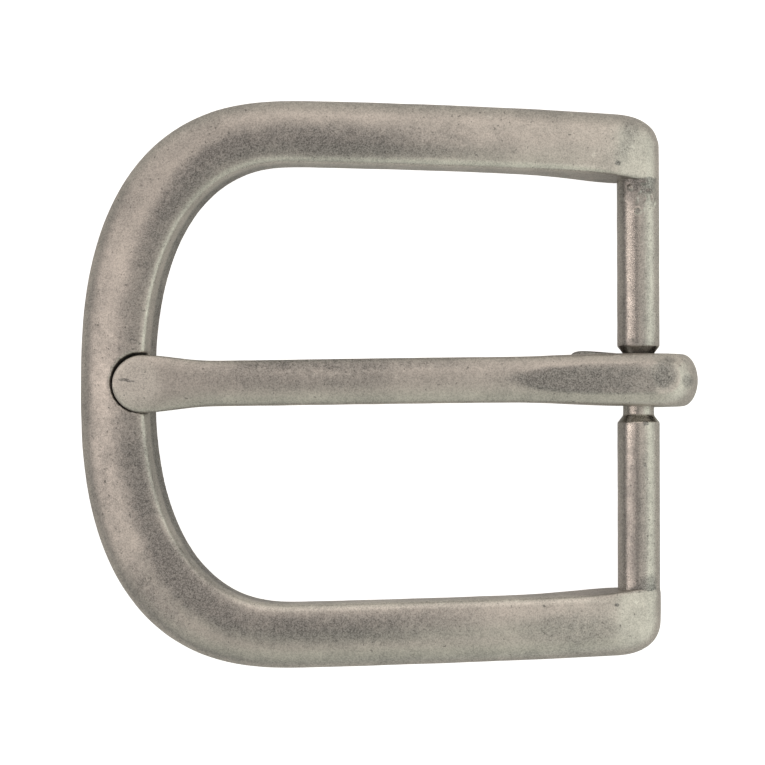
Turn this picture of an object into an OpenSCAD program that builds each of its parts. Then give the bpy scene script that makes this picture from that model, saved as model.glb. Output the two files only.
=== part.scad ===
// Heel-bar belt buckle for a 38 to 40 mm strap: a horseshoe frame, a necked heel bar and one prong.
// The origin is the middle of the heel bar's axis. +X runs from the bow to the bar's outer side,
// +Y along the bar, and +Z out of the front face, so the buckle lies on its back.

/* [Bow] */
// How far the bow's curve starts from the bar's axis
bow_x = 35; // [32:0.5:40]
// Reach of the outer outline beyond that start
outer_reach = 21.2; // [19:0.1:23]
// Half the height of the outer outline there
outer_half = 28.3; // [27:0.1:30]
// Reach of the inner outline beyond that start
inner_reach = 14.2; // [13:0.1:15]
// Half the height of the inner outline there
inner_half = 21.9; // [21:0.05:23]
// How square the outer outline is: 2 is an ellipse
outer_square = 2.5; // [2.2:0.1:3]
// How square the inner outline is: 2 is an ellipse
inner_square = 2.35; // [2.1:0.05:2.8]

/* [Arms] */
// Half the height of the outer outline at the bar
arm_outer = 27.1; // [26:0.05:28]
// Half the gap between the arms' front edges at the bar
arm_inner = 20.85; // [20.5:0.05:21.2]
// How far the arms' ends reach past the bar's axis
arm_end = 2.25; // [2.2:0.05:3]

/* [Section] */
// Thickness of the frame
frame_t = 4.1; // [3.4:0.1:4.6]
// Radius that the frame is arched to, from bow to bar
arch_r = 105; // [90:1:160]
// How far the arch's top is from the bar's axis
arch_x = 23.6; // [20:0.1:30]
// Height of the frame's middle layer at the arch's top
arch_top = 3.5; // [3:0.1:4]
// Height of the crown across the front face
crown = 0.25; // [0:0.05:0.5]
// Lean of the inner wall
draft = 2.5; // [0:0.5:4]
// How far each lug swells inwards at its foot
swell = 0.3; // [0:0.05:0.6]

/* [Heel bar] */
// Diameter of the bar
bar_d = 4.25; // [4:0.05:4.4]
// Diameter of the neck that the prong turns on
neck_d = 3.1; // [2.8:0.05:3.2]
// Length of the neck
neck_len = 6.2; // [6:0.1:7]
// Length of the sloped shoulder at each end of the neck
shoulder = 0.6; // [0.4:0.1:1]
// How far the bar's full diameter is let into the arms
let_in = 0.1; // [0.05:0.05:0.3]
// Diameter of the tenon at each end of the bar
tenon_d = 2.6; // [2:0.1:3]
// Length of the tenon
tenon_len = 2.4; // [1.5:0.1:3.5]

/* [Prong] */
// How far the middle of the rounded head is from the bar's axis
head_x = 49.95; // [48:0.05:50]
// Radius of the head
head_r = 2.75; // [2.5:0.05:2.9]
// Half the width of the shaft
shaft_half = 2.3; // [2:0.05:2.5]
// Half the width of the strap that is bent round the bar
strap_half = 2.65; // [2.5:0.05:2.7]
// Running clearance round the neck
running_gap = 0.1; // [0.05:0.05:0.1]
// How far the prong sits towards one end of its neck
side_play = 0.4; // [0:0.05:0.4]

/* [Hidden] */
antique = [0.62, 0.60, 0.56];

fillet_front_out = [2.6, 1.6];
fillet_front_in = 0.8;
fillet_back_out = 1.1;
fillet_back_in = 0.6;
corner_steps = 5;
face_steps = 3;
bow_steps = 40;
arm_steps = 10;
end_steps = 10;
end_start = -2.4;
end_corner = 3.7;
end_square = 2.4;
slope_end = 0.84;
edge_keep = 0.35;
swell_start = -13;
lug_start = -9;
upright_start = -14;
upright_end = -5;
foot_level = -3.2;

seat_r = 2.97;
seat_run = 8;
seat_gap = 0.08;
seat_slope = atan(0.14);

// Smooth step from 0 at a to 1 at b.
function ramp(a, b, x) = let (t = max(0, min(1, (x - a) / (b - a)))) t * t * (3 - 2 * t);
function mix(a, b, t) = a + (b - a) * t;
function flat(lists) = [for (l = lists) each l];

// One skin over a row of rings with the same number of points, closed at both ends.
module skin(rings) {
    n = len(rings[0]);
    m = len(rings);
    sides = [for (i = [0 : m - 2], j = [0 : n - 1])
        let (a = i * n + j, b = i * n + (j + 1) % n) each [[a, b, b + n], [a, b + n, a + n]]];
    caps = [[for (j = [n - 1 : -1 : 0]) j], [for (j = [0 : n - 1]) (m - 1) * n + j]];
    polyhedron(flat(rings), concat(sides, caps), convexity = 6);
}

// ---- frame ----

// The middle layer is an arc over arch_x. Its normal leans outwards, and stands upright near the bar.
// Nothing reaches below foot_level, so the bow's back has a flat that the buckle lies on.
function arch_angle(x) = asin((x + arch_x) / arch_r);
function arch_z(x) = arch_top - arch_r * (1 - cos(arch_angle(x)));
function lean(x) = arch_angle(x) * (1 - ramp(upright_start, upright_end, x));
function on_arch(p, h) = [p[0] + h * sin(lean(p[0])), p[1],
                          max(foot_level, arch_z(p[0]) + h * cos(lean(p[0])))];

// Half outline of the bow at angle a, from 90 at the upper arm through 180 to 270 at the lower arm.
function bow_point(reach, half, square, a) = [
    -bow_x + sign(cos(a)) * reach * pow(abs(cos(a)), 2 / square),
    sign(sin(a)) * half * pow(abs(sin(a)), 2 / square)];

// The share of a size that is left at x where the arm's end rounds it off: a quarter ellipse at square 2.
function round_off(x, square) = let (u = max(0, (x - end_start) / (arm_end - end_start)))
    pow(max(0, 1 - pow(u, square)), 1 / square);
function arm_out_y(x) = mix(outer_half, arm_outer, (x + bow_x) / bow_x)
    - end_corner * (1 - round_off(x, end_square));
function arm_in_y(x) = mix(inner_half, arm_inner, (x + bow_x) / bow_x);

// Heights of the front and back faces from the middle layer at x. The lug's end is round about the
// bar, and the front slopes down to it.
function end_round(x) = sqrt(max(0, arm_end * arm_end - x * x));
function end_slope(x) = mix(arch_z(end_start) + frame_t / 2, end_round(slope_end),
                            (x - end_start) / (slope_end - end_start));
function front(x) = x < end_start ? frame_t / 2 : (x < slope_end ? end_slope(x) : end_round(x)) - arch_z(x);
function lug_z(x) = x < 0 ? -arm_end : -end_round(x);
function back(x) = mix(-frame_t / 2, lug_z(x) - arch_z(x), ramp(lug_start, end_start, x));

// The share of the crown and of the inner front edge's rounding that is left where the lug meets the bar.
function edge_share(x) = mix(1, edge_keep, ramp(lug_start, end_start, x));

// Outline of one cross-section, w wide from the inner to the outer wall and from height b to t. The
// inner wall leans, its foot is moved inwards by foot, and share scales the crown and the inner edge.
function corner(c, r, a) = [for (i = [0 : corner_steps])
    let (s = a + 90 * i / corner_steps) [c[0] + r[0] * cos(s), c[1] + r[1] * sin(s)]];
function section(w, b, t, foot, share) = let (
    k = min(1, (t - b) / frame_t),
    fo = fillet_front_out * k, fi = fillet_front_in * k * share,
    bo = fillet_back_out * k, bi = fillet_back_in * k,
    lean_in = tan(draft) * (t - b) + foot,
    rise = crown * k * share,
    edge = t - rise)
    concat(
        corner([w - bo, b + bo], [bo, bo], -90),
        corner([w - fo[0], edge - fo[1]], fo, 0),
        [for (i = [1 : face_steps]) let (s = i / (face_steps + 1))
            [mix(w - fo[0], fi, s), edge + rise * sin(180 * s)]],
        corner([fi, edge - fi], [fi, fi], 90),
        corner([bi - lean_in, b + bi], [bi, bi], 180));

// Swelling of the lug's foot at x.
function foot_at(x) = swell * ramp(swell_start, end_start, x) * round_off(x, 2);
function ring(inner, outer) = let (w = norm(outer - inner), x = (inner[0] + outer[0]) / 2)
    [for (p = section(w, back(x), front(x), foot_at(x), edge_share(x)))
        on_arch(inner + (outer - inner) * p[0] / w, p[1])];

function arm_ring(x, side) = ring([x, side * arm_in_y(x)], [x, side * arm_out_y(x)]);
function bow_ring(a) = ring(bow_point(inner_reach, inner_half, inner_square, a),
                            bow_point(outer_reach, outer_half, outer_square, a));
end_xs = [for (i = [0 : end_steps]) mix(end_start, arm_end, sin(84 * i / end_steps))];
arm_xs = [for (i = [1 : arm_steps]) mix(-bow_x, end_start, i / (arm_steps + 0.5))];
arm_stations = concat(arm_xs, end_xs);

module frame_rim() {
    last = len(arm_stations) - 1;
    skin(concat(
        [for (i = [last : -1 : 0]) arm_ring(arm_stations[i], 1)],
        [for (i = [0 : bow_steps]) bow_ring(90 + 180 * i / bow_steps)],
        [for (i = [0 : last]) arm_ring(arm_stations[i], -1)]));
}

// The seat for the prong's head: a round pocket in the bow's front face, open to the strap side.
module seat() {
    translate([-head_x, 0, prong_z(-head_x) - head_t - seat_gap]) rotate([0, -seat_slope, 0]) {
        cylinder(r = seat_r, h = seat_run, $fn = 96);
        translate([0, -seat_r, 0]) cube([seat_run, 2 * seat_r, seat_run]);
    }
}

module frame() {
    color(antique) difference() {
        frame_rim();
        seat();
        turned_bar();
    }
}

// ---- heel bar ----

// Turned along Y: a tenon, the full diameter, a shoulder, the neck, and the same again in reverse.
module turned_bar() {
    r = bar_d / 2;
    neck_y = neck_len / 2;
    full_end = arm_inner + let_in;
    half_profile = [[neck_d / 2, neck_y], [r, neck_y + shoulder], [r, full_end],
                    [tenon_d / 2, full_end], [tenon_d / 2, full_end + tenon_len], [0, full_end + tenon_len]];
    other_half = [for (i = [len(half_profile) - 1 : -1 : 0]) [half_profile[i][0], -half_profile[i][1]]];
    rotate([90, 0, 0]) rotate_extrude($fn = 96) polygon(concat(half_profile, other_half));
}

module heel_bar() {
    color(antique) turned_bar();
}

// ---- prong ----

// Thickness of the head's rim, the head, the shaft, the strap at the bend, and the tail's two ends.
rim_t = 0.9;
head_t = 1.85;
shaft_t = 3.2;
strap_t = 2.8;
tail_t = [1.7, 1.35];

// Height of the crown across each of them.
head_crown = 0.45;
shaft_crown = 0.9;
strap_crown = 1.3;
bend_crown = 2.2;
tail_crown = [0.7, 0.45];
crown_share = 0.55;

// Where along X, from the head's middle, the head's rim thins out and the shaft takes over.
rim_start = 1.2;
head_taper = 7;
crown_taper = 9;

// Where along X the shaft reaches its full thickness, thins to the strap and flares to its width.
thick_end = -22;
strap_zone = [-9, -1];
flare = [-13, -2];

// The front line's height along X, the bend's middle and half sizes, and the tail's end and lean.
prong_front = [4.3, -0.0625, -0.00202];
bend_x = 1.15;
bend_reach = 4.8;
bend_half = 3.8;
tail_run = [-2.2, -3.9];
tail_dip = -0.6;
tail_end = [-7.3, 0.05];
tail_lean = 0.3;
tail_round = [0.88, 0.55];

// The filed flat's two ends: X, and depth below the front line.
facet = [[-10.8, 0], [1.5, 0.16]];
facet_box = [20, 10, 4];

// The chamfer along the strap's inner edges.
edge_cut = 0.5;
edge_share = 0.3;

head_steps = 9;
neck_steps = 7;
shaft_steps = 14;
bend_steps = 18;
tail_steps = 9;
edge_steps = 10;
first_turn = 14;

// Height of the prong's front line at x.
function prong_z(x) = prong_front[0] + prong_front[1] * x + prong_front[2] * x * x;
function prong_slope(x) = prong_front[1] + 2 * prong_front[2] * x;

// Sideways place of the prong's middle line: the head is centred, the strap sits to one side.
function drift(x) = side_play * ramp(-head_x, -5, x);

// A station is [point on the front line, direction of travel, half width, thickness, crown, sideways place].
function shaft_half_at(x) = let (
    round = sqrt(max(0, head_r * head_r - pow(min(0, x + head_x), 2))),
    body = mix(head_r, shaft_half, ramp(-head_x, -head_x + head_taper, x)))
    x < -head_x ? round : mix(body, strap_half, ramp(flare[0], flare[1], x));
function shaft_t_at(x) = let (
    rim = max(0, -head_x - rim_start - x) / (head_r - rim_start),
    head = mix(rim_t, head_t, sqrt(max(0, 1 - rim * rim))),
    body = mix(head, shaft_t, ramp(-head_x, thick_end, x)))
    mix(body, strap_t, ramp(strap_zone[0], strap_zone[1], x));
function shaft_crown_at(x) = let (
    body = mix(head_crown, shaft_crown, ramp(-head_x, -head_x + crown_taper, x)))
    min(mix(body, strap_crown, ramp(flare[0], flare[1], x)), shaft_t_at(x) * crown_share);
function shaft_station(x) = [[x, prong_z(x)], atan(prong_slope(x)), shaft_half_at(x), shaft_t_at(x),
                             shaft_crown_at(x), drift(x)];

// The bend turns half way round, and draws the strap out thinner on its second half.
bend_z = prong_z(bend_x) - bend_half;
function bend_station(i) = let (
    s = i / bend_steps,
    a = 90 - 180 * s,
    rise = mix(strap_crown, bend_crown, ramp(0, 0.5, s)),
    fall = mix(bend_crown, tail_crown[0], ramp(0.5, 1, s)))
    [[bend_x + bend_reach * cos(a), bend_z + bend_half * sin(a)],
     atan2(-bend_half * cos(a), bend_reach * sin(a)),
     strap_half, mix(strap_t, tail_t[0], ramp(0.45, 1, s)), s < 0.5 ? rise : fall, side_play];

function bezier(p, t) = pow(1 - t, 3) * p[0] + 3 * t * pow(1 - t, 2) * p[1]
    + 3 * t * t * (1 - t) * p[2] + t * t * t * p[3];
tail_line = [[bend_x, bend_z - bend_half], [tail_run[0], bend_z - bend_half],
             [tail_run[1], tail_dip], tail_end];
function tail_station(i) = let (
    t = i / tail_steps,
    here = bezier(tail_line, t),
    ahead = bezier(tail_line, t + 0.01) - bezier(tail_line, t - 0.01),
    rounding = max(0, t - tail_round[0]) / (1 - tail_round[0]))
    [here, atan2(ahead[1], ahead[0]), strap_half - tail_round[1] * rounding * rounding,
     mix(tail_t[0], tail_t[1], t), mix(tail_crown[0], tail_crown[1], t), side_play + tail_lean * t];

// Outline of the strap across the direction of travel: crowned on the outer side, flat on the inner side.
function strap_section(half, t, c) = let (cut = min(edge_cut, half * edge_share), waist = -(c + t) / 2)
    concat(
        [for (i = [0 : edge_steps]) let (a = 180 * i / edge_steps) [-half * cos(a), -c * (1 - sin(a))]],
        [[half, waist], [half - cut, -t], [-half + cut, -t], [-half, waist]]);
function prong_ring(s) = [for (p = strap_section(s[2], s[3], s[4]))
    [s[0][0] - p[1] * sin(s[1]), s[5] + p[0], s[0][1] + p[1] * cos(s[1])]];

head_xs = [for (i = [0 : head_steps]) -head_x - head_r * cos(mix(first_turn, 90, i / head_steps))];
neck_xs = [for (i = [1 : neck_steps]) -head_x + head_taper * i / neck_steps];
shaft_xs = [for (i = [1 : shaft_steps]) mix(-head_x + head_taper, bend_x, i / shaft_steps)];

// The long flat filed on the front of the strap, which widens from a point towards the bend.
module facet_cut() {
    a = [facet[0][0], prong_z(facet[0][0]) - facet[0][1]];
    b = [facet[1][0], prong_z(facet[1][0]) - facet[1][1]];
    translate([a[0], -facet_box[1] / 2, a[1]])
        rotate([0, -atan2(b[1] - a[1], b[0] - a[0]), 0]) cube(facet_box);
}

module prong() {
    color(antique) difference() {
        skin(concat(
            [for (x = concat(head_xs, neck_xs, shaft_xs)) prong_ring(shaft_station(x))],
            [for (i = [1 : bend_steps]) prong_ring(bend_station(i))],
            [for (i = [1 : tail_steps]) prong_ring(tail_station(i))]));
        rotate([90, 0, 0]) cylinder(d = neck_d + 2 * running_gap, h = 4 * strap_half, center = true, $fn = 96);
        facet_cut();
    }
}

frame();
heel_bar();
prong();
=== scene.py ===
import math

import bmesh
import bpy
from mathutils import Matrix, Vector


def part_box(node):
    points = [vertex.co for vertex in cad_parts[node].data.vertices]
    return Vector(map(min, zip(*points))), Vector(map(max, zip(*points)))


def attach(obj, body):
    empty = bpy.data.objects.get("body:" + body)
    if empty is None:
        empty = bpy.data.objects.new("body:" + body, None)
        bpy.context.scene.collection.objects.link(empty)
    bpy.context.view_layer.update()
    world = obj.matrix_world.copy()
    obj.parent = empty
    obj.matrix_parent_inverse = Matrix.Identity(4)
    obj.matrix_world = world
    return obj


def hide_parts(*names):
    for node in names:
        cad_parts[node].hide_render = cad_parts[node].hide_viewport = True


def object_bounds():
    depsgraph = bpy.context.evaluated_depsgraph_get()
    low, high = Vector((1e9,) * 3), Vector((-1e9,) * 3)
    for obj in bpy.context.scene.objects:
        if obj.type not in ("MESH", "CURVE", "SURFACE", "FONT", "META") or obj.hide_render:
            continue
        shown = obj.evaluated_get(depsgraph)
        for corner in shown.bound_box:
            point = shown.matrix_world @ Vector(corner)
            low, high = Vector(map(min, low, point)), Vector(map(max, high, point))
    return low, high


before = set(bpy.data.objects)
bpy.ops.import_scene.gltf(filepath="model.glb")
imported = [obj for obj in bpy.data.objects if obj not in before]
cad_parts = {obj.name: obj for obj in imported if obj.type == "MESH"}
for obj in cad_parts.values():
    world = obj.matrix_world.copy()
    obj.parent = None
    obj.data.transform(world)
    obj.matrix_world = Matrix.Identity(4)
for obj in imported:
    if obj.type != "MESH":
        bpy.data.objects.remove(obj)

# A heel-bar belt buckle lying on its back: a cast frame, a turned bar and a formed prong.
# Metres throughout. The origin is the middle of the heel bar's axis, +X points from the bow to
# the bar, +Y along the bar and +Z out of the front face.

cad_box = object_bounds()
frame_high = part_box("frame")[1]
bar_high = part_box("heel_bar")[1]
MM = 0.001

# ---- sizes ----

half_height = frame_high[1]
arm_end = frame_high[0]
bow_x = 35.0 * MM
# How far the bow runs past bow_x, outside and inside, and the half width of the opening there.
outer_reach = 21.2 * MM
inner_reach = 14.2 * MM
inner_half = 21.9 * MM
arm_outer = 27.1 * MM
arm_inner = 20.85 * MM
outer_square = 2.5
inner_square = 2.35
section_w = 6.5 * MM
frame_t = 4.1 * MM
arch_r = 105 * MM
arch_x = 23.6 * MM
arch_top = 3.5 * MM
crown = 0.25 * MM
end_start = -2.4 * MM
end_corner = 3.7 * MM
end_square = 2.4
slope_end = 0.84 * MM
# What is left of the crown and the inner edge's rounding at the bar, and how far that edge runs in.
edge_keep = 0.35
edge_drop = 0.45 * MM
draft = math.radians(2.5)
swell = 0.3 * MM
swell_start = -13 * MM
lug_start = -9 * MM
upright_start = -14 * MM
upright_end = -5 * MM
foot_level = -3.2 * MM

bar_r = bar_high[0]
neck_r = 1.55 * MM
neck_half = 3.1 * MM
shoulder = 0.6 * MM
bar_lip = 0.12 * MM
bar_half = arm_inner + 0.26 * MM

# The prong's front line: its height at the bar, its fall there and its curve, in millimetres.
line_height = 4.3
line_fall = 0.0625
line_curve = 0.00202
head_x = -49.95 * MM
head_r = 2.93 * MM
head_t = 1.85 * MM
nose_start = 1.2 * MM
seat_r = 2.97 * MM
seat_gap = 0.08 * MM
seat_aside = 0.13 * MM
seat_slope = math.atan(0.14)
shaft_half = 2.3 * MM
shaft_t = 3.2 * MM
strap_half = 2.65 * MM
strap_t = 2.8 * MM
widen_start = -13 * MM
widen_end = -2 * MM
tail_t = 1.5 * MM
tip_t = 0.9 * MM
tail_end = Vector((-7.3, 0.05)) * MM
side_play = 0.4 * MM
tail_aside = 0.42 * MM
bore_r = neck_r + 0.1 * MM
bend_x = 1.15 * MM
bend_reach = 4.8 * MM
bend_half = 3.8 * MM
# How far the prong's outer face bulges, from the head round the bend to the tail's end.
head_rise = 0.45 * MM
shaft_rise = 0.9 * MM
strap_rise = 1.3 * MM
bend_rise = 1.65 * MM
tail_rise = 0.7 * MM
tip_rise = 0.45 * MM
# The long flat filed on the front: where it starts and ends, and how deep it is at its end.
flat_start = -10.8 * MM
flat_end = 1.5 * MM
flat_depth = 0.16 * MM

blister_across = -0.2
blister_along = 17.35
# Beads of solder, in millimetres and degrees: across and along the bar, radius, stretch and turn.
solder = (
    (1.3, 18.75, 0.20, 2.8, 12),
    (0.95, 19.35, 0.24, 1.4, 60),
    (1.65, 18.1, 0.16, 2.2, -10),
    (-0.35, 18.5, 0.18, 2.8, 8),
    (-0.05, 19.3, 0.16, 1.8, -30),
    (-1.5, 18.6, 0.17, 1.5, 0),
    (0.32, 17.5, 0.13, 1.2, 0),
    (-0.9, 19.6, 0.22, 1.6, 40),
    (0.4, 20.2, 0.25, 1.8, 80),
    (0.6, 18.4, 0.14, 2.2, -25),
)


def ramp(a, b, x):
    t = max(0.0, min(1.0, (x - a) / (b - a)))
    return t * t * (3 - 2 * t)


def mix(a, b, t):
    return a + (b - a) * t


# ---- bench work ----


def only(*pieces):
    """Select these pieces and nothing else; the first is the active one."""
    bpy.ops.object.select_all(action="DESELECT")
    for piece in pieces:
        piece.select_set(True)
    bpy.context.view_layer.objects.active = pieces[0]


def pick(piece, test):
    """In edit mode, select the corners whose place passes the test, and what lies between them."""
    mesh = bmesh.from_edit_mesh(piece.data)
    for part in (*mesh.faces, *mesh.edges, *mesh.verts):
        part.select = False
    for vert in mesh.verts:
        vert.select = test(vert.co)
    mesh.select_flush_mode()
    mesh.select_flush(True)
    bmesh.update_edit_mesh(piece.data)


def add(kind, name, **settings):
    """Add a primitive with nothing else selected, and open it in edit mode."""
    bpy.ops.object.select_all(action="DESELECT")
    getattr(bpy.ops.mesh, f"primitive_{kind}_add")(**settings)
    piece = bpy.context.object
    piece.name = piece.data.name = name
    bpy.ops.object.mode_set(mode="EDIT")
    return piece


def leave():
    bpy.ops.object.mode_set(mode="OBJECT")


def settle(piece):
    """Put the piece's place into its mesh."""
    only(piece)
    bpy.ops.object.transform_apply(location=True, rotation=True, scale=True)


def work(piece, kind, **settings):
    """Add a modifier and apply it."""
    only(piece)
    tool = piece.modifiers.new(kind.lower(), kind)
    for key, value in settings.items():
        setattr(tool, key, value)
    bpy.ops.object.modifier_apply(modifier=tool.name)


def cut(piece, cutter, how="DIFFERENCE"):
    work(piece, "BOOLEAN", object=cutter, operation=how, solver="EXACT")
    bpy.data.objects.remove(cutter)


def copy_at(master, place):
    piece = master.copy()
    piece.data = master.data.copy()
    bpy.context.collection.objects.link(piece)
    piece.matrix_world = place
    return piece


def loft(name, rings):
    """Join the rings, bridge each to the next, and close the two ends."""
    only(*rings)
    bpy.ops.object.join()
    piece = bpy.context.object
    piece.name = piece.data.name = name
    settle(piece)
    bpy.ops.object.mode_set(mode="EDIT")
    bpy.ops.mesh.select_all(action="SELECT")
    bpy.ops.mesh.bridge_edge_loops()
    bpy.ops.mesh.select_all(action="DESELECT")
    bpy.ops.mesh.select_non_manifold()
    bpy.ops.mesh.fill_holes(sides=0)
    bpy.ops.mesh.select_all(action="SELECT")
    bpy.ops.mesh.normals_make_consistent(inside=False)
    leave()
    return piece


def soften(piece, voxel, passes):
    """Turn the piece into an even skin, as tumbling does, so that every edge is a little round."""
    work(piece, "REMESH", mode="VOXEL", voxel_size=voxel)
    work(piece, "SMOOTH", factor=0.5, iterations=passes)


def ripple(piece, name, size, depth):
    """Press a shallow unevenness into the skin."""
    hollows = bpy.data.textures.new(name, "CLOUDS")
    hollows.noise_scale = size
    hollows.noise_depth = 1
    work(piece, "DISPLACE", texture=hollows, strength=depth, mid_level=0.5)
    bpy.data.textures.remove(hollows)


def finish(piece, node, body, finish_material):
    only(piece)
    bpy.ops.object.shade_smooth()
    piece.data.materials.clear()
    piece.data.materials.append(finish_material)
    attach(piece, body)
    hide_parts(node)


# ---- the cast frame ----


def arch_angle(x):
    return math.asin((x + arch_x) / arch_r)


def arch_z(x):
    return arch_top - arch_r * (1 - math.cos(arch_angle(x)))


def lean(x):
    return arch_angle(x) * (1 - ramp(upright_start, upright_end, x))


def round_off(x, square):
    past = max(0.0, (x - end_start) / (arm_end - end_start))
    return max(0.0, 1 - past**square) ** (1 / square)


def bow_point(reach, half, square, turn):
    across, up = math.cos(turn), math.sin(turn)
    return Vector((
        -bow_x + math.copysign(reach * abs(across) ** (2 / square), across),
        math.copysign(half * abs(up) ** (2 / square), up),
    ))


def arm_pair(x, side):
    along = (x + bow_x) / bow_x
    inner = mix(inner_half, arm_inner, along)
    outer = mix(half_height, arm_outer, along) - end_corner * (1 - round_off(x, end_square))
    return Vector((x, side * inner)), Vector((x, side * outer))


def bow_pair(turn):
    return (
        bow_point(inner_reach, inner_half, inner_square, turn),
        bow_point(outer_reach, half_height, outer_square, turn),
    )


def end_round(x):
    return math.sqrt(max(0.0, arm_end**2 - x * x))


def heights(x):
    """Heights of the back and front faces from the middle layer."""
    front, lug = frame_t / 2, -arm_end if x < 0 else -end_round(x)
    if x > slope_end:
        front = end_round(x) - arch_z(x)
    elif x > end_start:
        down = (x - end_start) / (slope_end - end_start)
        front = mix(arch_z(end_start) + frame_t / 2, end_round(slope_end), down) - arch_z(x)
    back = mix(-frame_t / 2, lug - arch_z(x), ramp(lug_start, end_start, x))
    return back, front


def frame_section():
    """One cross-section: x from the inner to the outer wall, y from the back to the front."""
    piece = add("plane", "section", size=1)
    bpy.ops.transform.resize(value=(section_w, frame_t - crown, 1))
    bpy.ops.transform.translate(value=(section_w / 2, -crown / 2, 0))
    top, bottom = frame_t / 2 - crown, -frame_t / 2
    rim, rim_across = 1.6 * MM, 2.6 * MM
    corners = (
        (section_w, top, rim, 6), (0, top, 0.8 * MM, 4),
        (section_w, bottom, 1.1 * MM, 4), (0, bottom, 0.6 * MM, 3),
    )
    for x, y, radius, steps in corners:
        at = Vector((x, y, 0))
        pick(piece, lambda co: (co - at).length < 1e-6)
        bpy.ops.mesh.bevel(offset=radius, segments=steps, affect="VERTICES")
    # The outer front edge is rounded further across than down.
    pick(piece, lambda co: co.x > section_w - rim - 1e-6 and co.y > top - rim - 1e-6)
    bpy.ops.transform.resize(value=(rim_across / rim, 1, 1), center_override=(section_w, 0, 0))
    # The front is crowned: its long edge is split and the new corners are raised.
    pick(piece, lambda co: abs(co.y - top) < 1e-6)
    bpy.ops.mesh.subdivide(number_cuts=3)
    flat_from, flat_to = 0.8 * MM, section_w - rim_across
    pick(piece, lambda co: abs(co.y - top) < 1e-6 and flat_from + 1e-4 < co.x < flat_to - 1e-4)
    bpy.ops.transform.translate(value=(0, crown * 0.7, 0))
    middle = (flat_from + flat_to) / 2
    pick(piece, lambda co: co.y > top + 1e-6 and abs(co.x - middle) < 1e-4)
    bpy.ops.transform.translate(value=(0, crown * 0.3, 0))
    bpy.ops.mesh.select_all(action="SELECT")
    bpy.ops.mesh.delete(type="ONLY_FACE")
    leave()
    return piece


def frame_ring(section, pair):
    """Lay a section between an inner and an outer point, with its foot leaning inwards."""
    inner, outer = pair
    x = (inner.x + outer.x) / 2
    back, front = heights(x)
    # Where the front slopes down at the arm's end, its inner edge runs in along the leaning wall.
    inwards = edge_drop * ramp(end_start - 2 * MM, slope_end, x)
    low = Vector((inner.x, inner.y - math.copysign(inwards, inner.y), arch_z(inner.x)))
    high = Vector((outer.x, outer.y, arch_z(outer.x)))
    across = high - low
    wide, tall = across.length / section_w, (front - back) / frame_t
    foot = math.tan(draft) * (front - back)
    foot += swell * ramp(swell_start, end_start, x) * round_off(x, 2) - inwards
    piece = copy_at(section, Matrix())
    only(piece)
    bpy.ops.object.mode_set(mode="EDIT")
    pick(piece, lambda co: co.x < 0.7 * MM and co.y < 0)
    bpy.ops.transform.translate(value=(-foot / wide, 0, 0))
    # Towards the bar the crown and the inner front edge's rounding fade.
    share, edge = mix(1, edge_keep, ramp(lug_start, end_start, x)), frame_t / 2 - crown
    pick(piece, lambda co: co.x < 0.9 * MM and edge - 0.9 * MM < co.y < edge + 1e-7)
    bpy.ops.transform.resize(value=(share, share, 1), center_override=(0, edge, 0))
    pick(piece, lambda co: co.y > edge - 1e-7)
    bpy.ops.transform.resize(value=(1, share, 1), center_override=(0, edge, 0))
    pick(piece, lambda co: co.y > 0)
    bpy.ops.transform.translate(value=(0, crown * (1 - share), 0))
    leave()
    across.normalize()
    up = Vector((math.sin(lean(x)), 0, math.cos(lean(x))))
    up = (up - across * up.dot(across)).normalized()
    turn = Matrix((across, up, across.cross(up))).transposed().to_4x4()
    place = Matrix.Translation(low + up * (back + front) / 2) @ turn
    piece.matrix_world = place @ Matrix.Diagonal((wide, tall, 1, 1))
    return piece


def make_frame():
    arm_steps, end_steps, bow_steps = 10, 9, 36
    arm_xs = [mix(-bow_x, end_start, i / (arm_steps + 0.5)) for i in range(1, arm_steps + 1)]
    last_turn = math.radians(84)
    end_xs = [mix(end_start, arm_end, math.sin(last_turn * i / end_steps)) for i in range(end_steps + 1)]
    stations = arm_xs + end_xs
    pairs = [arm_pair(x, 1) for x in reversed(stations)]
    pairs += [bow_pair(math.pi * (0.5 + i / bow_steps)) for i in range(bow_steps + 1)]
    pairs += [arm_pair(x, -1) for x in stations]
    section = frame_section()
    piece = loft("cast_frame", [frame_ring(section, pair) for pair in pairs])
    bpy.data.objects.remove(section)
    work(piece, "SUBSURF", levels=2, render_levels=2)
    cut(piece, seat_cutter())
    # The bow's back has a flat that the buckle lies on.
    file_flat(piece, (-53, 0, foot_level / MM), (0, 0, -1), 30)
    soften(piece, 0.2 * MM, 3)
    ripple(piece, "tumbled_hollows", 3.5 * MM, 0.04 * MM)
    return piece


def seat_cutter():
    """A round-ended slot, open to the strap side, that the prong's head lies in."""
    depth = 8 * MM
    piece = add("cylinder", "seat_cutter", vertices=64, radius=seat_r, depth=depth)
    bpy.ops.transform.translate(value=(0, 0, depth / 2))
    pick(piece, lambda co: co.x > 1e-6)
    bpy.ops.transform.translate(value=(depth, 0, 0))
    leave()
    floor = prong_z(head_x) - head_t - seat_gap
    piece.location = (head_x, seat_aside, floor)
    piece.rotation_euler = (0, -seat_slope, 0)
    settle(piece)
    return piece


# ---- the turned bar ----


def bead(across, along, size, stretch, turn):
    """A bead of solder half sunk in the front of the bar."""
    across = across * MM
    piece = add("ico_sphere", "bead", subdivisions=3, radius=size * MM)
    bpy.ops.transform.resize(value=(1, stretch, 0.7))
    leave()
    piece.rotation_euler = (0, math.asin(across / bar_r), math.radians(turn))
    piece.location = (across, along * MM, math.sqrt(bar_r**2 - across**2))
    settle(piece)
    return piece


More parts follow.
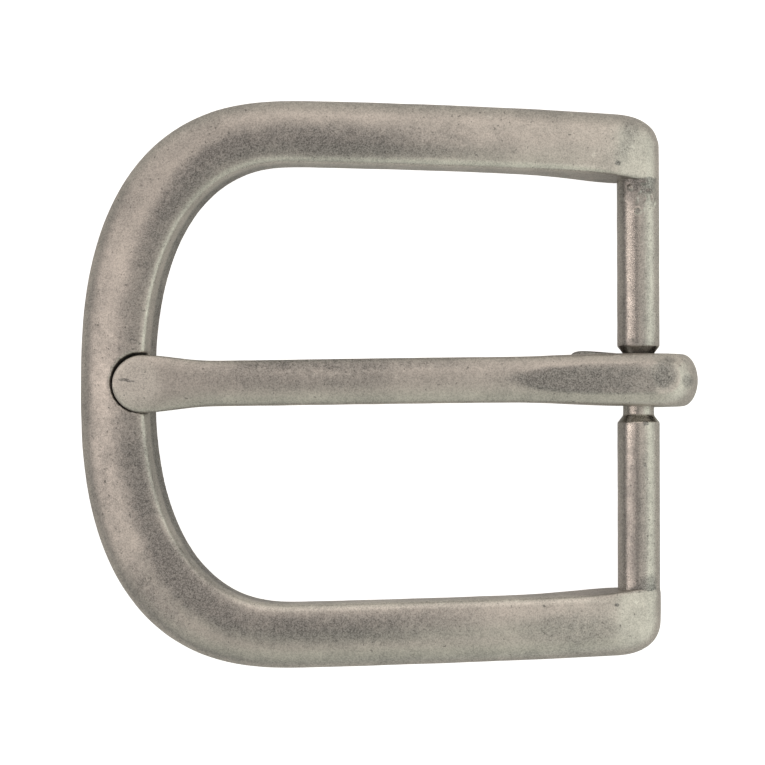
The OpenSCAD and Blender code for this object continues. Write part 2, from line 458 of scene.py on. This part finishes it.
def blister():
    """A burst blister: a small raised ring."""
    piece = add("torus", "blister", major_radius=0.24 * MM, minor_radius=0.1 * MM,
                major_segments=24, minor_segments=10)
    leave()
    piece.location = (blister_across * MM, blister_along * MM, bar_r - 0.01 * MM)
    settle(piece)
    return piece


def make_bar():
    """Pulled out of one round end, ring by ring, then laid along Y, with solder left at one end."""
    piece = add("circle", "turned_bar", vertices=96, radius=bar_r, fill_type="NGON")
    bpy.ops.transform.translate(value=(0, 0, -bar_half))
    full, lip_r = bar_half - neck_half - shoulder - bar_lip, bar_r - bar_lip
    pulls = (
        (full, 1), (bar_lip, lip_r / bar_r), (shoulder, neck_r / lip_r),
        (2 * neck_half, 1),
        (shoulder, lip_r / neck_r), (bar_lip, bar_r / lip_r), (full, 1),
    )
    for length, swelling in pulls:
        bpy.ops.mesh.extrude_region_move(TRANSFORM_OT_translate={"value": (0, 0, length)})
        bpy.ops.transform.resize(value=(swelling, swelling, 1))
    bpy.ops.mesh.select_all(action="SELECT")
    bpy.ops.mesh.normals_make_consistent(inside=False)
    leave()
    piece.rotation_euler = (math.pi / 2, 0, 0)
    settle(piece)
    beads = [bead(*spot) for spot in solder]
    only(piece, *beads, blister())
    bpy.ops.object.join()
    soften(piece, 0.09 * MM, 2)
    ripple(piece, "drawn_hollows", 2.5 * MM, 0.03 * MM)
    return piece


# ---- the formed prong ----


def prong_z(x):
    """Height of the prong's front line."""
    at = x / MM
    return (line_height - line_fall * at - line_curve * at * at) * MM


flat_z = prong_z(flat_start)
flat_slope = (flat_z - prong_z(flat_end) + flat_depth) / (flat_end - flat_start)


def drift(x):
    return side_play * ramp(head_x, -5 * MM, x)


def strap_ring(half, thick, rise):
    """A ring with a half-round front and a flat back; its highest point is at the origin."""
    piece = add("circle", "ring", vertices=28, radius=half)
    pick(piece, lambda co: co.y > 1e-6)
    bpy.ops.transform.resize(value=(1, rise / half, 1), center_override=(0, 0, 0))
    pick(piece, lambda co: co.y < -1e-6)
    bpy.ops.transform.resize(value=(1, 0, 1), center_override=(0, 0, 0))
    bpy.ops.transform.translate(value=(0, -(thick - rise), 0))
    bpy.ops.mesh.select_all(action="SELECT")
    bpy.ops.transform.translate(value=(0, -rise, 0))
    leave()
    return piece


def prong_ring(x, z, slope, half, thick, rise, aside):
    """Lay a ring across the direction of travel at (x, z)."""
    piece = strap_ring(half, thick, min(rise, 0.75 * thick))
    ahead = Vector((math.cos(slope), 0, math.sin(slope)))
    up = Vector((-math.sin(slope), 0, math.cos(slope)))
    side = up.cross(ahead)
    turn = Matrix((side, up, side.cross(up))).transposed().to_4x4()
    piece.matrix_world = Matrix.Translation((x, aside, z)) @ turn
    return piece


def shaft_ring(x):
    from_head = x - head_x
    half = mix(head_r, shaft_half, ramp(0, 7 * MM, from_head))
    half = mix(half, strap_half, ramp(widen_start, widen_end, x))
    if from_head < 0:
        half = math.sqrt(head_r**2 - from_head**2)
    past = max(0.0, -from_head - nose_start) / (head_r - nose_start)
    thick = mix(tip_t, head_t, math.sqrt(max(0.0, 1 - past * past)))
    thick = mix(thick, shaft_t, ramp(head_x, -22 * MM, x))
    thick = mix(thick, strap_t, ramp(-9 * MM, -1 * MM, x))
    rise = mix(head_rise, shaft_rise, ramp(0, 9 * MM, from_head))
    rise = mix(rise, strap_rise, ramp(widen_start, widen_end, x))
    slope = math.atan(-line_fall - 2 * line_curve * x / MM)
    return prong_ring(x, prong_z(x), slope, half, thick, rise, drift(x))


def make_prong():
    head_steps, shaft_steps, bend_steps, tail_steps = 9, 34, 20, 12
    turns = [math.radians(mix(10, 90, i / head_steps)) for i in range(head_steps + 1)]
    xs = [head_x - head_r * math.cos(turn) for turn in turns]
    xs += [mix(head_x, bend_x, i / shaft_steps) for i in range(1, shaft_steps + 1)]
    rings = [shaft_ring(x) for x in xs]
    bend_z = prong_z(bend_x) - bend_half
    for i in range(1, bend_steps + 1):
        share = i / bend_steps
        turn = math.pi * (0.5 - share)
        slope = math.atan2(-bend_half * math.cos(turn), bend_reach * math.sin(turn))
        thick = mix(strap_t, tail_t + 0.2 * MM, ramp(0.45, 1, share))
        if share < 0.5:
            rise = mix(strap_rise, bend_rise, ramp(0, 0.5, share))
        else:
            rise = mix(bend_rise, tail_rise, ramp(0.5, 1, share))
        x, z = bend_x + bend_reach * math.cos(turn), bend_z + bend_half * math.sin(turn)
        rings.append(prong_ring(x, z, slope, strap_half, thick, rise, side_play))
    low = bend_z - bend_half
    # The tail comes back under the shaft and rises towards its end.
    line = (Vector((bend_x, low)), Vector((-2.2 * MM, low)), Vector((-3.9, -0.6)) * MM, tail_end)
    for i in range(1, tail_steps + 1):
        t = i / tail_steps
        here, ahead = bezier(line, t), bezier(line, t + 0.01) - bezier(line, t - 0.01)
        half = strap_half - 0.55 * MM * (max(0.0, t - 0.88) / 0.12) ** 2
        thick, rise = mix(tail_t + 0.2 * MM, tail_t - 0.15 * MM, t), mix(tail_rise, tip_rise, t)
        slope = math.atan2(ahead.y, ahead.x)
        rings.append(prong_ring(here.x, here.y, slope, half, thick, rise, side_play + tail_aside * t))
    piece = loft("formed_prong", rings)
    work(piece, "SUBSURF", levels=2, render_levels=2)
    cut(piece, bore_cutter())
    file_flat(piece, (0, 0, (flat_z + flat_slope * flat_start) / MM), (flat_slope, 0, 1), 30)
    # Hammer flats on the bend.
    file_flat(piece, (2.6, 0.9, 3.74), (0.20, 0.04, 1), 8)
    file_flat(piece, (4.6, 0.35, 2.98), (0.8, 0.03, 1), 8)
    file_flat(piece, (3.1, 2.3, 3.15), (0.35, 0.75, 1), 8)
    soften(piece, 0.115 * MM, 2)
    ripple(piece, "forged_hollows", 2.2 * MM, 0.03 * MM)
    return piece


def bezier(line, t):
    a, b, c, d = line
    s = 1 - t
    return s**3 * a + 3 * s * s * t * b + 3 * s * t * t * c + t**3 * d


def bore_cutter():
    piece = add("cylinder", "bore_cutter", vertices=64, radius=bore_r, depth=12 * MM)
    leave()
    piece.rotation_euler = (math.pi / 2, 0, 0)
    settle(piece)
    return piece


def file_flat(piece, place, facing, size):
    """File away what lies in front of a plane, with a block that stands on it."""
    block = add("cube", "block", size=size * MM)
    leave()
    facing = Vector(facing).normalized()
    block.rotation_euler = facing.to_track_quat("Z", "Y").to_euler()
    block.location = Vector(place) * MM + facing * size * MM / 2
    settle(block)
    cut(piece, block)


# ---- finishes ----


class Wire:
    """A shader socket that adds a Math node when it meets an operator."""

    def __init__(self, bench, socket):
        self.bench, self.socket = bench, socket

    def maths(self, operation, *values):
        return self.bench.node("Math", {"operation": operation}, dict(enumerate(values)))

    def __add__(self, other):
        return self.maths("ADD", self, other)

    def __sub__(self, other):
        return self.maths("SUBTRACT", self, other)

    def __truediv__(self, other):
        return self.maths("DIVIDE", self, other)

    def __pow__(self, other):
        return self.maths("POWER", self, other)

    def __abs__(self):
        return self.maths("ABSOLUTE", self)

    def __mul__(self, other):
        return self.maths("MULTIPLY", self, other)

    def __rsub__(self, other):
        return self.maths("SUBTRACT", other, self)

    __radd__, __rmul__ = __add__, __mul__

    def most(self, other):
        return self.maths("MAXIMUM", self, other)

    def clip(self):
        return self.bench.node("Clamp", {}, {"Value": self})


class Bench:
    """Builds one node tree."""

    def __init__(self, tree):
        self.tree = tree
        tree.nodes.clear()

    def node(self, kind, settings, inputs, out=0):
        made = self.tree.nodes.new("ShaderNode" + kind)
        for key, value in settings.items():
            setattr(made, key, value)
        for key, value in inputs.items():
            if isinstance(value, Wire):
                self.tree.links.new(value.socket, made.inputs[key])
            else:
                made.inputs[key].default_value = value
        return Wire(self, made.outputs[out])

    def noise(self, place, scale, detail=2.0, rough=0.5):
        return self.node("TexNoise", {}, {
            "Vector": place, "Scale": scale, "Detail": detail, "Roughness": rough})

    def band(self, value, low, high):
        """0 at low and 1 at high, smooth between."""
        return self.node("MapRange", {"interpolation_type": "SMOOTHSTEP"},
                         {"Value": value, "From Min": low, "From Max": high})

    def blend(self, share, first, second, how="MIX"):
        return self.node("Mix", {"data_type": "RGBA", "blend_type": how},
                         {0: share, 6: first, 7: second}, out=2)

    def spot(self, place, centre, size):
        """1 in the middle of an egg-shaped patch and 0 outside it."""
        off = self.node("VectorMath", {"operation": "SUBTRACT"}, {0: place, 1: centre})
        off = self.node("VectorMath", {"operation": "DIVIDE"}, {0: off, 1: size})
        return 1 - self.band(self.node("VectorMath", {"operation": "LENGTH"}, {0: off}, out=1), 0.45, 1.0)

    def close(self, shader, kind="OutputMaterial"):
        """Join the shader to the tree's output."""
        end = self.tree.nodes.new("ShaderNode" + kind)
        self.tree.links.new(shader.socket, end.inputs["Surface"])


# The bright colour below serves both worn edges and painted highlights.
POLISH_AND_HIGHLIGHT = (0.88, 0.85, 0.78, 1)
BRIGHT = (0.615, 0.575, 0.53, 1)
DULL = (0.455, 0.43, 0.40, 1)
# The dark colour below serves both patina and painted shade.
AGED_AND_SHADE = (0.36, 0.355, 0.35, 1)
DARK = (0.08, 0.078, 0.075, 1)


def antique_nickel(name, shine, soot_and_shade, stains_and_shade, patina_and_shade=None, highlight=None):
    """Satin nickel, darkened and then rubbed back: soot stays in pits and scratches, and an occlusion
    mask darkens corners with antiquing soot and painted shade.

    A stain is a centre and a size in millimetres, and how dark it is; some stains are painted shade. The
    two masks are optional: the first darkens with patina, painted shade and painted reflection, and the
    second adds painted highlights.
    """
    material = bpy.data.materials.new(name)
    material.use_nodes = True
    b = Bench(material.node_tree)
    place = b.node("TexCoord", {}, {}, out=3)
    place = b.node("VectorMath", {"operation": "SCALE"}, {0: place, "Scale": 1 / MM})
    clouds = b.band(b.noise(place, 0.2, 3.0, 0.6), 0.36, 0.66)
    mottle = b.band(b.noise(place, 1.3, 3.0, 0.65), 0.34, 0.68)
    grain = b.noise(place, 5.2, 2.0, 0.75)
    fine = b.band(b.noise(place, 8.5, 1.0, 0.5), 0.38, 0.62)
    speckle = b.band(grain, 0.36, 0.62) * 0.6 + fine * 0.4
    fleck = b.band(b.noise(place, 3.6, 2.0, 0.7), 0.58, 0.68)
    pits = b.band(b.noise(place, 2.4, 1.5, 0.7), 0.68, 0.73)
    worn = b.band(b.node("NewGeometry", {}, {}, out=7), 0.52, 0.60)
    # Occlusion mask: the corners it darkens are partly antiquing soot and partly painted shade.
    hollow = 1 - b.node("AmbientOcclusion", {"samples": 6}, {"Distance": 1.4 * MM}, out=1)
    corner = b.band(hollow, 0.38, 0.9)
    # Darkening mask: random clouds, patina and stains, plus painted shade and painted reflection from the
    # first mask and the stain lists.
    aged_and_shade = clouds * 0.14
    if patina_and_shade:
        aged_and_shade = patina_and_shade(b, place) * (clouds * 0.15 + mottle * 0.3 + 0.82) + aged_and_shade
    for centre, size, share in stains_and_shade:
        aged_and_shade = aged_and_shade + b.spot(place, centre, size) * (mottle * 0.4 + 0.8) * share
    aged_and_shade = aged_and_shade.clip()
    tone = b.blend((clouds * 0.3 + mottle * 0.3).clip(), BRIGHT, DULL)
    # Worn edges, plus painted highlights from the second mask, pull the tone towards the bright colour.
    wear_and_highlight = worn * 0.3
    if highlight:
        wear_and_highlight = wear_and_highlight + highlight(b, place) * 0.75
    tone = b.blend(wear_and_highlight.clip(), tone, POLISH_AND_HIGHLIGHT)
    tone = b.blend(aged_and_shade * 0.6, tone, AGED_AND_SHADE)
    shade = (speckle * (aged_and_shade * 0.2 + 0.38) + 0.71 - aged_and_shade * 0.40).clip()
    tone = b.blend(1.0, tone, b.node("CombineColor", {}, {0: shade, 1: shade, 2: shade}), "MULTIPLY")
    # The occlusion term adds painted shade as well as soot in the corners.
    black = (pits * 0.5 + fleck * (aged_and_shade * 0.35 + 0.16) + corner * soot_and_shade).clip()
    tone = b.blend(black, tone, DARK)
    rough = (mottle * 0.05 + grain * 0.08 + aged_and_shade * 0.12 + black * 0.2 + shine).clip()
    metal = (1 - black * 0.35).clip()
    height = grain * 0.5 + fine * 0.15 + mottle * 0.25 - pits * 0.9
    bump = b.node("Bump", {}, {"Strength": 0.4, "Distance": 0.036 * MM, "Height": height})
    b.close(b.node("BsdfPrincipled", {}, {
        "Base Color": tone, "Metallic": metal, "Roughness": rough, "Normal": bump}))
    return material


def from_inner(b, place):
    """x, and the millimetres out from the frame's inner outline along a ray from the bow's start."""
    x = b.node("SeparateXYZ", {}, {"Vector": place})
    y = abs(b.node("SeparateXYZ", {}, {"Vector": place}, out=1))
    past = (0 - x - bow_x / MM).most(0.0)
    along = ((x + bow_x / MM) / (bow_x / MM)).clip()
    half = inner_half / MM - along * ((inner_half - arm_inner) / MM)
    share = (past / (inner_reach / MM)) ** inner_square + (y / half) ** inner_square
    radius = (past * past + y * y) ** 0.5
    return x, radius - radius / (share ** (1 / inner_square))


def frame_reflection_and_shade(b, place):
    """Painted reflection and shade: a dark band inside the crown's ridge round the bow, a dull outer rim,
    and painted shade on the inner wall.
    """
    x, out = from_inner(b, place)
    # Painted reflection: the dark band where the crowned face looks straight up.
    ridge = 1 - b.band(abs(out - 2.4), 0.5, 2.3)
    bow = 1 - b.band(x, -30.0, -12.0)
    corners = b.band(x, -53.0, -47.0) * 0.6 + 0.25
    rim = b.band(out, 4.6, 5.9) * 0.22
    # Painted shade on the inner wall, strongest round the bow.
    wall = (1 - b.band(out, -0.15, 0.05)) * (0.75 - b.band(x, -44.0, -26.0) * 0.55)
    return ridge * bow * corners + rim + wall


def frame_edge_highlight(b, place):
    """A painted highlight along the inner edge."""
    x, out = from_inner(b, place)
    strip = b.band(out, -0.05, 0.15) * (1 - b.band(out, 0.55, 0.95))
    return strip * (1 - b.band(x, -6.0, -2.0)) * (b.band(x, -47.0, -36.0) * 0.55 + 0.1)


def filed_patch(b, place):
    """1 on the long filed flat: on its plane, and short of the bend."""
    across = b.node("SeparateXYZ", {}, {"Vector": place})
    height = b.node("SeparateXYZ", {}, {"Vector": place}, out=2)
    over = height + across * flat_slope - (flat_z + flat_slope * flat_start) / MM
    flat = b.band(over, -0.15, -0.02) * (1 - b.band(across, 1.0, 2.0))
    beside = b.node("SeparateXYZ", {}, {"Vector": place}, out=1)
    lens = 1.1 - b.band(abs(beside - 0.35), 0.6, 1.8) * 0.55
    return flat * lens * (1 - b.band(across, -5.0, 0.5) * 0.45)


def head_highlight(b, place):
    """A painted highlight on the head's top."""
    return b.spot(place, (-50.4, 0, 2.3), (3.4, 3.2, 2.4)) * 0.6


frame_stains_and_shade = (
    # Dots where the arms' ends begin, and one on each of the upper arm and the corner.
    ((-2.26, 22.0, 3.0), (0.40, 0.30, 1.5), 1.3),
    ((-2.5, -22.0, 3.0), (0.3, 0.24, 1.5), 1.2),
    ((-33.0, 19.9, 5.0), (0.6, 0.5, 1.5), 0.5),
    ((-45.9, 19.3, 4.6), (0.3, 0.3, 1.5), 0.9),
    # Painted shade along the crease where the upper arm's front turns down.
    ((-0.75, 25.6, 2.6), (1.1, 1.2, 1.5), 0.3),
    ((-1.4, 24.2, 2.9), (1.0, 1.8, 1.5), 0.25),
    ((-2.0, 22.9, 3.1), (1.1, 1.4, 1.5), 0.25),
    # Dull stretches: the lower arm's end, the lower corner, the bow, and the upper arm's inner side.
    ((-7.5, -24.3, 3.2), (6.5, 2.4, 3.0), 0.45),
    ((-46.5, -19.5, 3.0), (7.0, 5.5, 4.0), 0.45),
    ((-51.5, -9.0, 2.5), (4.5, 7.0, 4.0), 0.3),
    ((-28.0, 22.9, 5.0), (16.0, 1.0, 2.0), 0.3),
)
bar_stains_and_shade = (
    # Round the solder and the blister, and the bar's top end against the arm: antiquing in the corner and
    # painted shade under the arm's edge.
    ((0.5, 19.7, 2.0), (1.5, 0.8, 1.5), 0.7),
    ((blister_across, blister_along, 2.2), (0.36, 0.36, 0.6), 0.8),
    ((0, 19.2, 1.5), (2.6, 2.2, 3.0), 0.55),
    ((0.1, 20.7, 1.8), (2.3, 1.0, 2.0), 1.1),
    # The lower end against the arm: antiquing in the corner and painted shade.
    ((0.7, -20.0, 1.6), (1.4, 1.3, 2.0), 0.6),
    ((0.3, -20.7, 1.8), (2.0, 0.9, 2.0), 0.9),
    # Dots below the neck.
    ((0.55, -3.95, 2.0), (0.4, 0.3, 1.0), 1.2),
    ((0.45, -8.1, 2.0), (0.22, 0.28, 1.0), 1.2),
    # The neck and the shoulder above it.
    ((0, 0, 0), (1.9, 3.6, 1.9), 0.55),
    ((-0.2, 3.9, 2.0), (2.2, 0.9, 2.0), 0.4),
    # Dull strips along the bar; the one down its -X side is painted shade.
    ((0.45, 11.0, 2), (0.8, 9.5, 1.0), 0.45),
    ((0.35, -12.0, 2), (0.7, 10.0, 1.0), 0.35),
    ((-1.7, 0, 1.2), (0.7, 26.0, 1.2), 0.4),
    ((-0.7, -12.5, 2), (1.0, 10.0, 1.4), 0.4),
)
prong_stains_and_shade = (
    # The hammer flats.
    ((2.4, 0.9, 3.8), (1.5, 1.8, 1.2), 0.8),
    ((4.8, 0.3, 3.0), (1.1, 0.85, 1.2), 0.6),
    ((2.9, 2.4, 3.2), (0.8, 0.5, 0.9), 0.5),
    ((2.0, 0.5, 4.0), (0.9, 1.4, 1.2), 0.5),
    # The nick in the head.
    ((-51.6, 0.42, 2.2), (0.65, 0.17, 0.8), 2.0),
    ((-50.9, 0.25, 2.2), (0.6, 0.12, 0.8), 1.6),
    # Painted reflection and shade: a dark band down the shaft's middle, a darker upper side where the
    # shaft curves away, and the tail where it lies under the shaft.
    ((-34.0, 1.0, 4.0), (15.0, 2.4, 3.0), 0.42),
    ((-27.0, 2.0, 3.8), (17.0, 0.9, 2.0), 0.35),
    ((-5.2, 3.1, -0.3), (4.5, 1.4, 2.5), 1.1),
)

frame_piece = make_frame()
bar_piece = make_bar()
prong_piece = make_prong()
finish(frame_piece, "frame", "frame",
       antique_nickel("frame_nickel", 0.30, 0.6, frame_stains_and_shade, frame_reflection_and_shade, frame_edge_highlight))
finish(bar_piece, "heel_bar", "frame",
       antique_nickel("bar_nickel", 0.20, 0.55, bar_stains_and_shade))
finish(prong_piece, "prong", "prong",
       antique_nickel("prong_nickel", 0.30, 0.6, prong_stains_and_shade, filed_patch, head_highlight))

# ---- floor, light and camera ----


def make_floor():
    floor = add("plane", "floor", size=3)
    bpy.ops.mesh.subdivide(number_cuts=2)
    leave()
    floor.location = (-25 * MM, 0, cad_box[0][2])
    settle(floor)
    paper = bpy.data.materials.new("white_paper")
    paper.use_nodes = True
    b = Bench(paper.node_tree)
    place = b.node("TexCoord", {}, {}, out=3)
    fleck = b.noise(place, 90.0) * 0.02 + 0.7
    tone = b.node("CombineColor", {}, {0: fleck, 1: fleck, 2: fleck})
    seen = b.node("LightPath", {}, {})
    b.close(b.node("BsdfPrincipled", {}, {
        "Base Color": tone, "Roughness": 0.9,
        "Emission Color": (1, 1, 1, 1), "Emission Strength": seen * 0.8 + 0.05}))
    floor.data.materials.append(paper)


def softbox(name, place, size, power, tint):
    bpy.ops.object.light_add(type="AREA", location=place)
    lamp = bpy.context.object
    lamp.name = name
    lamp.data.shape = "RECTANGLE"
    lamp.data.size, lamp.data.size_y = size
    lamp.data.energy = power
    lamp.data.color = tint
    aim = Vector((-25 * MM, 0, 0)) - lamp.location
    lamp.rotation_euler = aim.to_track_quat("-Z", "Y").to_euler()


def make_world():
    world = bpy.data.worlds.new("studio")
    bpy.context.scene.world = world
    world.use_nodes = True
    b = Bench(world.node_tree)
    way = b.node("TexCoord", {}, {}, out=0)

    def facing(x, y, z):
        toward = Vector((x, y, z)).normalized()
        return b.node("VectorMath", {"operation": "DOT_PRODUCT"}, {0: way, 1: toward}, out=1)

    side = b.band(facing(1, 0, 0), -0.5, 0.45)
    sky = b.blend(side, (0.84, 0.765, 0.71, 1), (0.90, 0.85, 0.79, 1))
    sky = b.blend(b.band(facing(0, 1, 0), 0.1, 0.5), sky, (1.05, 0.96, 0.89, 1))
    sky = b.blend(b.band(facing(0, 1, 0), 0.66, 0.85), sky, (0.78, 0.74, 0.68, 1))
    sky = b.blend(b.band(facing(0, -1, 0), 0.1, 0.6), sky, (0.70, 0.72, 0.64, 1))
    sky = b.blend(b.band(facing(1, 0, 0), 0.4, 0.85), sky, (1.28, 1.34, 1.20, 1))
    low = b.blend(side, (0.16, 0.17, 0.18, 1), (1.0, 1.04, 0.95, 1))
    low = b.blend(b.band(facing(0, 1, 0), 0.2, 0.8), low, (0.8, 0.77, 0.70, 1))
    sky = b.blend(b.band(facing(0, 0, -1), -0.45, -0.1), sky, low)
    # A dark canopy over the table, which the crowned faces mirror along their middles.
    off = b.node("VectorMath", {"operation": "SUBTRACT"}, {0: way, 1: (-0.38, 0.02, 1)})
    off = b.node("VectorMath", {"operation": "DIVIDE"}, {0: off, 1: (0.50, 0.42, 1.5)})
    reach = b.node("VectorMath", {"operation": "LENGTH"}, {0: off}, out=1)
    sky = b.blend(1 - b.band(reach, 0.4, 1.0), sky, (0.22, 0.21, 0.205, 1))
    b.close(b.node("Background", {}, {"Color": sky, "Strength": 1.0}), "OutputWorld")


def make_camera():
    away, tilt = 300 * MM, math.radians(1.8)
    view_w = 76.5 * MM
    target = Vector((-25.75, 0.14, 1.8)) * MM
    bpy.ops.object.camera_add(location=target + Vector((0, -math.sin(tilt), math.cos(tilt))) * away)
    camera = bpy.context.object
    camera.rotation_euler = (tilt, 0, 0)
    camera.data.sensor_width = 36
    camera.data.lens = 36 * away / view_w
    camera.data.clip_start = 0.01
    bpy.context.scene.camera = camera


make_floor()
make_world()
softbox("left_strip", (-0.54, 0.0, 0.52), (0.05, 0.7), 0.42, (1.0, 0.88, 0.82))
make_camera()
bpy.context.scene.view_settings.view_transform = "Standard"
